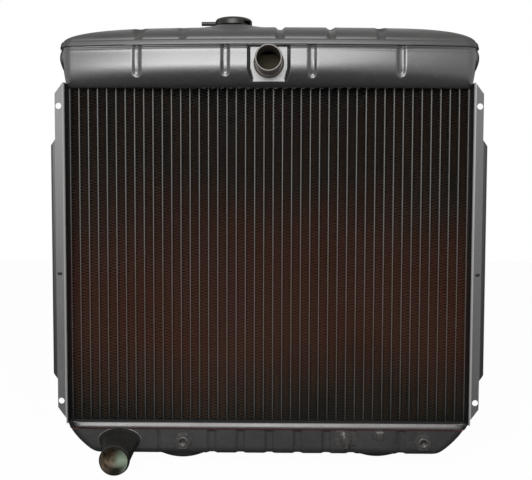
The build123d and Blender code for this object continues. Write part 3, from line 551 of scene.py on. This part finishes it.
# Each strip is folded from side to side, all the way up, and every fold is bent in its depth.
fin_front, fin_rear = 0.0297, 0.0843
fin_half_height, fin_wave, fin_fold = 0.2606, 0.0062, 0.0024
fin_gap, fin_thickness = 0.0001, 0.00012
fin_half_width = (tube_pitch - tube_thickness) / 2 - fin_gap
bm = bmesh.new()
depths = [fin_front, (fin_front + fin_rear) / 2, fin_rear]
start = [bm.verts.new((-fin_half_width, y, -fin_half_height + fin_wave * (number % 2)))
         for number, y in enumerate(depths)]
edge_row = [bm.edges.new(pair) for pair in zip(start, start[1:])]
fold_count = round((2 * fin_half_height - fin_wave) / fin_fold)
fold_rise = (2 * fin_half_height - fin_wave) / fold_count
for fold in range(fold_count):
    grown = bmesh.ops.extrude_edge_only(bm, edges=edge_row)["geom"]
    new_verts = [item for item in grown if isinstance(item, bmesh.types.BMVert)]
    to_side = 1 - 2 * (fold % 2)
    bmesh.ops.translate(bm, verts=new_verts, vec=(to_side * 2 * fin_half_width, 0, fold_rise))
    kept = set(new_verts)
    edge_row = [item for item in grown
                if isinstance(item, bmesh.types.BMEdge) and set(item.verts) <= kept]
bmesh.ops.solidify(bm, geom=bm.faces[:], thickness=fin_thickness)
strip = bm.verts[:] + bm.edges[:] + bm.faces[:]
strip_count = tube_columns - 1
for number in range(1, strip_count):
    copy = bmesh.ops.duplicate(bm, geom=strip)["geom"]
    bmesh.ops.translate(bm, verts=[item for item in copy if isinstance(item, bmesh.types.BMVert)],
                        vec=(number * tube_pitch, 0, 0))
first_place = -(strip_count - 1) / 2 * tube_pitch
bmesh.ops.translate(bm, verts=bm.verts, vec=(first_place, 0, 0))
fins = finished_piece("fins", bm, fin_copper, sharp=10.0)
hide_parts("fin_strips")

# --- Bottom tank ----------------------------------------------------------------------------------
# The bottom tank is a pressed brass trough with slanted ends. Shallow channels run down its lower
# wall and across its underside, and two low bulges give the oil cooler room. Its front has holes
# for the hose neck and for the drain cock's bush.
trough_top, trough_foot = -0.262, -0.314
trough_front, trough_rear = 0.0245, 0.0895
trough_middle, trough_half_depth = (trough_front + trough_rear) / 2, (trough_rear - trough_front) / 2
trough_left_length, trough_right_length = 0.3160, 0.3130
# Each end slants in by a length at the foot, on a curve of the given power.
trough_left_slope, trough_right_slope = (0.0420, 1.75), (0.0439, 1.64)
trough_outline = (trough_left_length, trough_front, 0.0, trough_rear, 0.0, 0.0)
trough_corner, trough_edge_radius, trough_floor_reach = 0.016, 0.009, 0.995
trough_channels = (-0.088, -0.043, 0.0025, 0.047, 0.092, 0.131, 0.209)
trough_channel_half_width, trough_channel_depth, trough_channel_steepness = 0.0092, 0.0024, 1.5
trough_channel_top, trough_channel_start = -0.2765, 0.004
trough_crease, trough_crease_half_width, trough_crease_depth = -0.171, 0.0030, 0.0020
# Each bulge: its place along the tank, its half width and its depth.
trough_bulges = ((-0.1355, 0.038, 0.0095), (0.1725, 0.032, 0.0065))
bulge_edge, bulge_edge_width = 0.006, 0.010
trough_wall_levels = (-0.262, -0.266, -0.270, -0.2730, -0.2745, -0.2755, -0.2765, -0.2775,
                      -0.2785, -0.280, -0.284, -0.288, -0.292, -0.296, -0.300, -0.3035)
trough_arc_rings, trough_floor_rings = 10, 12


def trough_ring(ring):
    """A ring's height, its step in from the front wall and its share of the tank's depth."""
    if ring < len(trough_wall_levels):
        return trough_wall_levels[ring], 0.0, 1.0
    turn = (ring - len(trough_wall_levels) + 1) / trough_arc_rings
    if turn <= 1:
        return (trough_foot + trough_edge_radius * (1 - sin(turn * pi / 2)),
                trough_edge_radius * (1 - cos(turn * pi / 2)), 1.0)
    across = (ring - len(trough_wall_levels) + 1 - trough_arc_rings) / trough_floor_rings
    return trough_foot, trough_edge_radius, 1 - trough_floor_reach * across


def trough_point(index, ring):
    """A point of the trough: down the wall, round the lower edge and in across the floor."""
    level, inset, share = trough_ring(ring)
    outline = tank_outline(index, trough_corner, trough_outline)
    to_right = outline.x > 0
    reach = trough_right_length if to_right else trough_left_length
    slope_length, slope_power = trough_right_slope if to_right else trough_left_slope
    reach -= slope_length * ((trough_top - level) / (trough_top - trough_foot)) ** slope_power
    depth_share = (1 - inset / trough_half_depth) * share
    point = Vector((outline.x * reach / trough_left_length,
                    trough_middle + (outline.y - trough_middle) * depth_share, level))
    inward = 1 if point.y < trough_middle else -1
    from_wall = trough_half_depth - abs(point.y - trough_middle)
    for x in trough_channels:
        press = trough_channel_depth * groove(abs(point.x - x), trough_channel_half_width,
                                              trough_channel_steepness)
        press *= ease((trough_channel_top - level) / trough_channel_start + 0.5)
        flatness = min(from_wall / trough_edge_radius, 1)
        point.z += press * flatness
        point.y += press * (1 - flatness) * inward
    crease = trough_crease_depth * groove(abs(point.x - trough_crease), trough_crease_half_width,
                                          trough_channel_steepness)
    point.y += crease * inward * (1 - min(from_wall / trough_edge_radius, 1))
    for x, half_width, drop in trough_bulges:
        beside = min(abs(point.x - x) / half_width, 1)
        point.z -= drop * (1 - beside ** 2) * ease((from_wall - bulge_edge) / bulge_edge_width)
    return point


lower_neck_x, lower_neck_level = -0.2325, -0.294
lower_hole_half_width, lower_hole_half_height = 0.029, 0.0155
drain_x, drain_level, drain_hole = 0.122, -0.288, 0.0078
trough_hole_rear = 0.03


def in_trough_hole(point):
    from_neck = Vector(((point.x - lower_neck_x) / lower_hole_half_width,
                        (point.z - lower_neck_level) / lower_hole_half_height)).length
    from_drain = Vector((point.x - drain_x, point.z - drain_level)).length
    return point.y < trough_hole_rear and (from_neck < 1 or from_drain < drain_hole)


bm = wrapped_sheet(len(trough_wall_levels) - 1 + trough_arc_rings + trough_floor_rings, trough_point)
wall_with_hole(bm, in_trough_hole)
trough = finished_piece("trough", bm, tank_paint)
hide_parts("bottom_tank")

# --- Bottom header rim ----------------------------------------------------------------------------
# The bottom header's brass rim is rolled outward over the tank and filled with solder; its left end is
# painted near black, as painted shade. Below it runs a thin dark-red edge: bare copper that the paint
# has left, darkened as the painted shadow under the rim.
rim_solder = painted("rim_solder", paint=(0.040, 0.036, 0.036), metal=copper, dust_amount=0.5,
                     chip_amount=0.3, roughness=0.30, peel=0.3, specular=0.6)
rim_shaded_black, rim_grey = (0.008, 0.008, 0.008), (0.040, 0.036, 0.036)
tree = rim_solder.node_tree
_, axes = object_place(tree)
# The rim's left end is painted near black, as painted shade.
clear_of_left_shade = ramp(tree, axes["X"], low=-0.298, high=-0.264)
rim_tone = mix_colour(tree, clear_of_left_shade, rim_shaded_black, rim_grey)
tree.links.new(rim_tone, tree.nodes["finish"].inputs["Paint"])
# The edge under the rim is dark red: bare copper, darkened as the painted shadow under the rim.
bare_edge_and_shadow = painted("bare_edge_and_shadow", paint=(0.07, 0.012, 0.010), dust=(0.05, 0.02, 0.015), metal=copper,
                    dust_amount=0.3, chip_amount=0.6, roughness=0.5, peel=0.3)

rim_half_length, rim_front, rim_rear = 0.3150, 0.0230, 0.0910
rim_outline = (rim_half_length, rim_front, 0.0, rim_rear, 0.0, 0.0)
# Both sections are closed: how far out each point stands, and its height.
rim_profile = ((-0.0016, -0.2640), (0.0004, -0.2645), (0.0010, -0.2656), (0.0017, -0.2672),
               (0.0024, -0.2689), (0.0029, -0.2705), (0.0030, -0.2719), (0.0025, -0.2733),
               (0.0012, -0.2743), (-0.0018, -0.2746))
edge_profile = ((-0.0022, -0.2745), (-0.0002, -0.2747), (0.0006, -0.2753), (-0.0002, -0.2760),
                (-0.0022, -0.2762))
rim_top, rim_foot = -0.2640, -0.2746
# The roll fades out towards the ends, which stand out by one length at the top and another at
# the foot.
rim_fade_start, rim_fade_end = 0.290, 0.308
rim_left_flare, rim_right_flare = (0.0028, -0.0010), (0.0036, -0.0030)
rim_flare_start, rim_flare_end = 0.300, 0.311


def rim_band(name, profile, material):
    """A band of the given section that runs right round the bottom tank."""
    def place(index, ring):
        out, level = profile[ring % len(profile)]
        outline = tank_outline(index, trough_corner, rim_outline)
        middle = (rim_front + rim_rear) / 2
        out *= 1 - ease((abs(outline.x) - rim_fade_start) / (rim_fade_end - rim_fade_start))
        top_flare, foot_flare = rim_right_flare if outline.x > 0 else rim_left_flare
        flare = top_flare + (foot_flare - top_flare) * min((rim_top - level) / (rim_top - rim_foot), 1)
        out += flare * ease((abs(outline.x) - rim_flare_start) / (rim_flare_end - rim_flare_start))
        return Vector((outline.x * (1 + out / rim_half_length),
                       middle + (outline.y - middle) * (1 + out / (middle - rim_front)), level))

    piece = finished_piece(name, wrapped_sheet(len(profile), place), material, sharp=60.0)


rim_band("bottom_header_rim", rim_profile, rim_solder)
rim_band("bottom_header_edge", edge_profile, bare_edge_and_shadow)

# --- Lower neck lining ----------------------------------------------------------------------------
# Inside, the lower hose neck is bare old brass, stained brown and green by coolant. Outside, a
# rounded fillet of solder runs round its foot on the tank's wall.
stained_brass = painted("stained_brass", paint=(0.13, 0.075, 0.040), dust=(0.06, 0.13, 0.095),
                        metal=(0.10, 0.04, 0.02), dust_amount=0.3, chip_amount=0.3, roughness=0.55,
                        peel=0.6, specular=0.3)
tarnish_brown, tarnish_pale = (0.09, 0.048, 0.026), (0.31, 0.235, 0.17)
patina_green, shadow_black = (0.30, 0.37, 0.28), (0.010, 0.008, 0.006)
tree = stained_brass.node_tree
place, axes = object_place(tree)
blotches = ramp(tree, noise(tree, place, scale=75.0, detail=4.0, roughness=0.65), low=0.42, high=0.60)
tarnish = mix_colour(tree, blotches, tarnish_brown, tarnish_pale)
# Green patina has grown low on the right, and the lowest part is painted near black, as painted shadow
# inside the neck.
to_right = ramp(tree, axes["X"], low=-0.241, high=-0.231)
low_down = ramp(tree, axes["Z"], low=-0.295, high=-0.306)
patina = calculate(tree, "MULTIPLY", to_right, low_down)
tree.links.new(mix_colour(tree, patina, tarnish, patina_green), tree.nodes["finish"].inputs["Paint"])
low_shadow = ramp(tree, axes["Z"], low=-0.320, high=-0.330)
lining_tone = mix_colour(tree, low_shadow, tree.nodes["finish"].outputs["Colour"], shadow_black)
tree.links.new(lining_tone, tree.nodes["Principled BSDF"].inputs["Base Color"])

lining_foot = Vector((lower_neck_x, 0.0250, lower_neck_level))
lining_turn = Vector((lower_neck_x, -0.0040, -0.3095))
lining_toe, lining_slope, lining_mouth_length = radians(1.5), radians(3.0), 0.0238
lining_ahead = Vector((sin(lining_toe), -cos(lining_toe) * cos(lining_slope), -sin(lining_slope)))
lining_foot_half_width, lining_foot_half_height, lining_mouth_radius = 0.0283, 0.0148, 0.0205
lining_around, lining_cone_rings, lining_mouth_rings = 48, 10, 6
lining_thickness = 0.0001


def lining_point(index, ring):
    """A point of the lining, which is oval at its foot and grows round towards the mouth."""
    angle = 2 * pi * index / lining_around
    share = min(ring / lining_cone_rings, 1)
    half_width = lining_foot_half_width + share * (lining_mouth_radius - lining_foot_half_width)
    half_height = lining_foot_half_height + share * (lining_mouth_radius - lining_foot_half_height)
    centre = lining_foot.lerp(lining_turn, share)
    if ring > lining_cone_rings:
        centre += lining_ahead * lining_mouth_length * (ring - lining_cone_rings) / lining_mouth_rings
    return centre + Vector((half_width * cos(angle), 0, half_height * sin(angle)))


bm = wrapped_sheet(lining_cone_rings + lining_mouth_rings, lining_point, around=lining_around)
bmesh.ops.solidify(bm, geom=bm.faces[:], thickness=lining_thickness)
lining = finished_piece("lower_neck_lining", bm, stained_brass)

fillet_half_width, fillet_half_height, fillet_radius, fillet_face = 0.0335, 0.0196, 0.0016, 0.0243
fillet_around, fillet_section_points = 64, 10


def fillet_point(index, ring):
    """A point of the solder's ring, whose section is round."""
    around = 2 * pi * index / fillet_around
    across = 2 * pi * (ring % fillet_section_points) / fillet_section_points
    return Vector((lower_neck_x + (fillet_half_width + fillet_radius * cos(across)) * cos(around),
                   fillet_face + fillet_radius * sin(across),
                   lower_neck_level + (fillet_half_height + fillet_radius * cos(across)) * sin(around)))


bm = wrapped_sheet(fillet_section_points, fillet_point, around=fillet_around)
fillet = finished_piece("lower_neck_fillet", bm, rim_solder)

# --- Side brackets --------------------------------------------------------------------------------
# Each bracket is one bent steel sheet: a bolting flange with a lip at its outer edge, and a web along
# the core's side. The flange's face is grey and dusty, and its inner bend carries a painted highlight;
# the lip and the web are painted black without dust, as painted shade. A small dark oval, painted as the
# shade in a struck dimple, stands on the flange's middle.
steel = (0.2, 0.2, 0.2)
bracket_dust = 0.4
bracket_paint = painted("bracket_paint", paint=(0.035, 0.035, 0.036), metal=steel,
                        dust_amount=bracket_dust, chip_amount=0.2, roughness=0.38, peel=0.15)
flange_grey, painted_bend_highlight = (0.050, 0.050, 0.051), (0.18, 0.178, 0.175)
lip_shade_black, web_shade_black = (0.006, 0.006, 0.006), (0.004, 0.004, 0.005)
tree = bracket_paint.node_tree
_, axes = object_place(tree)
# The inner bend is painted light as a painted highlight, and the lip and the web are painted near black
# without dust, as painted shade.
sideways = calculate(tree, "ABSOLUTE", axes["X"])
on_bend_highlight = ramp(tree, sideways, low=0.3112, high=0.3106)
on_lip = ramp(tree, sideways, low=0.3226, high=0.3232)
on_web = ramp(tree, axes["Y"], low=0.0015, high=0.0035)
flange_tone = mix_colour(tree, on_bend_highlight, flange_grey, painted_bend_highlight)
face_tone = mix_colour(tree, on_lip, flange_tone, lip_shade_black)
web_tone = mix_colour(tree, on_web, face_tone, web_shade_black)
tree.links.new(web_tone, tree.nodes["finish"].inputs["Paint"])
off_flange = calculate(tree, "MAXIMUM", on_web, on_lip)
dust_lost = calculate(tree, "MULTIPLY", off_flange, -bracket_dust)
dust_kept = calculate(tree, "ADD", dust_lost, bracket_dust)
tree.links.new(dust_kept, tree.nodes["finish"].inputs["Dust Amount"])
for name in ("left_side_bracket", "right_side_bracket"):
    finish_node(name, bracket_paint)

dimple_x, dimple_level, flange_face = 0.3172, -0.0286, -0.0016
dimple_half_sizes = (0.0038, 0.0005, 0.0024)
# Each dimple is a dark oval standing on the flange's face, painted near black as the shade in a struck
# dimple.
for side, name in ((-1, "left_dimple"), (1, "right_dimple")):
    bm = bmesh.new()
    bmesh.ops.create_uvsphere(bm, u_segments=20, v_segments=10, radius=1.0)
    bmesh.ops.scale(bm, verts=bm.verts, vec=dimple_half_sizes)
    bmesh.ops.translate(bm, verts=bm.verts, vec=(side * dimple_x, flange_face, dimple_level))
    dimple = finished_piece(name, bm, core_shade)

# --- Hose necks -----------------------------------------------------------------------------------
# The hose necks are drawn brass tubes with a bead at the mouth, soldered on through a collar. The upper
# one is worn pale, and a brass baffle stands behind it, painted dark as painted shade inside the tank.
# The overflow nipple is a thin brass tube in the filler neck's side.
worn_neck = painted("worn_neck", paint=(0.055, 0.048, 0.042), dust=(0.25, 0.21, 0.17), metal=brass,
                    dust_amount=0.6, chip_amount=0.5, roughness=0.34, peel=0.2)
shaded_baffle_brass = painted("shaded_baffle_brass", paint=(0.055, 0.045, 0.024), metal=brass, dust_amount=0.2,
                    chip_amount=0.1, roughness=0.6, peel=0.2, specular=0.2)
for name in ("upper_hose_neck", "upper_neck_collar"):
    finish_node(name, worn_neck)
for name in ("lower_hose_neck", "lower_neck_collar", "overflow_nipple"):
    finish_node(name, neck_paint)
# The baffle is painted dark, as painted shade inside the tank.
finish_node("upper_neck_baffle", shaded_baffle_brass)

# --- Fittings of the bottom tank ------------------------------------------------------------------
# The oil cooler's ports and nuts, the sensor plug and the drain cock are turned from brass and
# sprayed with the tank, so that their edges are chipped. Rubber seals them.
fitting_paint = painted("painted_brass", paint=(0.03, 0.028, 0.026), metal=brass, dust_amount=0.4,
                        chip_amount=1.0, roughness=0.22, peel=0.2, coat=0.6, specular=1.0)
bare_brass = painted("bare_brass", paint=(0.45, 0.30, 0.12), metal=brass, dust_amount=0.2,
                     chip_amount=0.2, roughness=0.4, peel=0.1)
gasket_rubber = painted("gasket_rubber", paint=(0.02, 0.02, 0.02), metal=(0.05, 0.05, 0.05),
                        dust_amount=0.4, chip_amount=0.0, roughness=0.7, peel=0.2)
for name in ("oil_cooler_left_port", "oil_cooler_right_port", "oil_cooler_left_nut",
             "oil_cooler_right_nut", "sensor_bush", "sensor_plug", "drain_cock_body",
             "drain_cock_stem"):
    finish_node(name, fitting_paint)
for name in ("oil_cooler_gaskets", "drain_cock_seal"):
    finish_node(name, gasket_rubber)
finish_node("oil_cooler_core", bare_brass)

# --- Solder seams ---------------------------------------------------------------------------------
# Soft solder fills the seam under the lid and the joints at both headers, and the black spray covers it.
# The seam's and the bottom header's solder are painted near black, as painted shadow in the joints; the
# top header's solder keeps the sprayed finish.
solder = (0.45, 0.44, 0.42)
solder_paint = painted("solder_paint", paint=(0.025, 0.025, 0.026), metal=solder, dust_amount=0.4,
                       chip_amount=0.4, roughness=0.35, peel=0.4)
finish_node("top_header_solder", solder_paint)
# Painted shadow: the seam's and the bottom header's solder are near black.
for name in ("seam_solder", "bottom_header_solder"):
    finish_node(name, core_shade)

# --- Floor and backdrop ---------------------------------------------------------------------------
# The radiator stands on white paper before a white backdrop. A black card lies in front of it and
# two black flags stand behind it, where only reflections see them, so that the paint keeps its
# dark side.
paper_grey, paper_white_share = (0.86, 0.86, 0.86), 0.97
felt_black = (0.02, 0.02, 0.02)
floor_half_size, card_half_size, flag_half_size = 4.0, 1.5, 1.0
card_place_y, card_lift = -1.0, 0.0005
flag_x, flag_y = 1.2, 1.6
floor_height = cad_box[0].z - 0.001


def matt_material(name, colour, roughness):
    """A plain sheet's material, without gloss."""
    material = bpy.data.materials.new(name)
    material.use_nodes = True
    shader = material.node_tree.nodes["Principled BSDF"]
    shader.inputs["Base Color"].default_value = (*colour, 1)
    shader.inputs["Roughness"].default_value = roughness
    shader.inputs["Specular IOR Level"].default_value = 0.0
    return material


def studio_sheet(name, half_size, place, material, upright=False, reflected_only=False):
    """A flat square sheet, lying or standing, that is part of the studio."""
    bm = bmesh.new()
    bmesh.ops.create_grid(bm, x_segments=1, y_segments=1, size=half_size)
    if upright:
        bmesh.ops.rotate(bm, verts=bm.verts, matrix=Matrix.Rotation(pi / 2, 3, "Y"))
    bmesh.ops.translate(bm, verts=bm.verts, vec=place)
    mesh = bpy.data.meshes.new(name)
    bm.to_mesh(mesh)
    bm.free()
    mesh.materials.append(material)
    sheet = bpy.data.objects.new(name, mesh)
    bpy.context.scene.collection.objects.link(sheet)
    if reflected_only:
        sheet.visible_camera = sheet.visible_diffuse = False
        sheet.visible_shadow = sheet.visible_transmission = False


def blend_shaders(tree, share, first, second, output):
    """Show the first shader where the share is 0 and the second where it is 1."""
    blend = tree.nodes.new("ShaderNodeMixShader")
    for given, socket in zip((share, first, second), blend.inputs):
        tree.links.new(given, socket)
    tree.links.new(blend.outputs[0], tree.nodes[output].inputs["Surface"])


def backdrop_rays(tree):
    """1 for the rays that see the white backdrop itself: camera, glossy and transmission rays."""
    seen = tree.nodes.new("ShaderNodeLightPath").outputs
    direct = calculate(tree, "MAXIMUM", seen["Is Camera Ray"], seen["Is Glossy Ray"])
    return calculate(tree, "MAXIMUM", direct, seen["Is Transmission Ray"])


floor_paper = matt_material("floor_paper", paper_grey, 0.9)
tree = floor_paper.node_tree
white = tree.nodes.new("ShaderNodeEmission")
white.inputs["Strength"].default_value = 1.0
share = calculate(tree, "MULTIPLY", backdrop_rays(tree), paper_white_share)
blend_shaders(tree, share, tree.nodes["Principled BSDF"].outputs[0], white.outputs[0], "Material Output")
studio_sheet("floor", floor_half_size, (0, 0, floor_height), floor_paper)

card_felt = matt_material("black_felt", felt_black, 1.0)
studio_sheet("black_card", card_half_size, (0, card_place_y, floor_height + card_lift), card_felt,
             reflected_only=True)
for side in (-1, 1):
    studio_sheet("flag", flag_half_size, (side * flag_x, flag_y, floor_height + flag_half_size),
                 card_felt, upright=True, reflected_only=True)

room_strength, backdrop_strength = 0.3, 1.0
world = bpy.data.worlds.new("studio")
bpy.context.scene.world = world
world.use_nodes = True
tree = world.node_tree
room = tree.nodes["Background"]
backdrop = tree.nodes.new("ShaderNodeBackground")
for light, strength in ((room, room_strength), (backdrop, backdrop_strength)):
    light.inputs["Color"].default_value = (1, 1, 1, 1)
    light.inputs["Strength"].default_value = strength
blend_shaders(tree, backdrop_rays(tree), room.outputs[0], backdrop.outputs[0], "World Output")

# --- Lamps and camera -----------------------------------------------------------------------------
# Two softboxes stand in front, a little to the left, one high and one low. The camera stands on
# the engine's side, a little above the core's middle, and looks slightly down.


def softbox(name, place, width, height, power):
    """A rectangular lamp that is turned to the core's upper half."""
    aim = Vector((0, 0, 0.2))
    lamp = bpy.data.lights.new(name, "AREA")
    lamp.shape = "RECTANGLE"
    lamp.size, lamp.size_y = width, height
    lamp.energy = power
    body = bpy.data.objects.new(name, lamp)
    body.location = place
    body.rotation_euler = (aim - Vector(place)).to_track_quat("-Z", "Y").to_euler()
    bpy.context.scene.collection.objects.link(body)


softbox("key_softbox", (-0.11, -1.75, 1.15), width=1.75, height=0.7, power=32)
softbox("side_softbox", (-0.40, -1.9, 0.50), width=1.6, height=0.6, power=32)

camera_place = Vector((0.0112, -1.2215, 0.09284))
camera_pitch, camera_roll, camera_yaw = 0.0566, 0.0029, -0.0119
picture_width_pixels, focal_length_pixels, sensor_width = 532, 806.3, 36.0
forward = Vector((sin(camera_yaw) * cos(camera_pitch), cos(camera_yaw) * cos(camera_pitch),
                  -sin(camera_pitch)))
sideways = Vector((cos(camera_yaw), -sin(camera_yaw), 0))
above = sideways.cross(forward)
right = sideways * cos(camera_roll) + above * sin(camera_roll)
up = above * cos(camera_roll) - sideways * sin(camera_roll)
camera_data = bpy.data.cameras.new("camera")
camera_data.sensor_width = sensor_width
camera_data.lens = sensor_width * focal_length_pixels / picture_width_pixels
camera = bpy.data.objects.new("camera", camera_data)
camera.matrix_world = Matrix((
    (right.x, up.x, -forward.x, camera_place.x),
    (right.y, up.y, -forward.y, camera_place.y),
    (right.z, up.z, -forward.z, camera_place.z),
    (0, 0, 0, 1),
))
bpy.context.scene.collection.objects.link(camera)
bpy.context.scene.camera = camera
bpy.context.scene.view_settings.view_transform = "Standard"
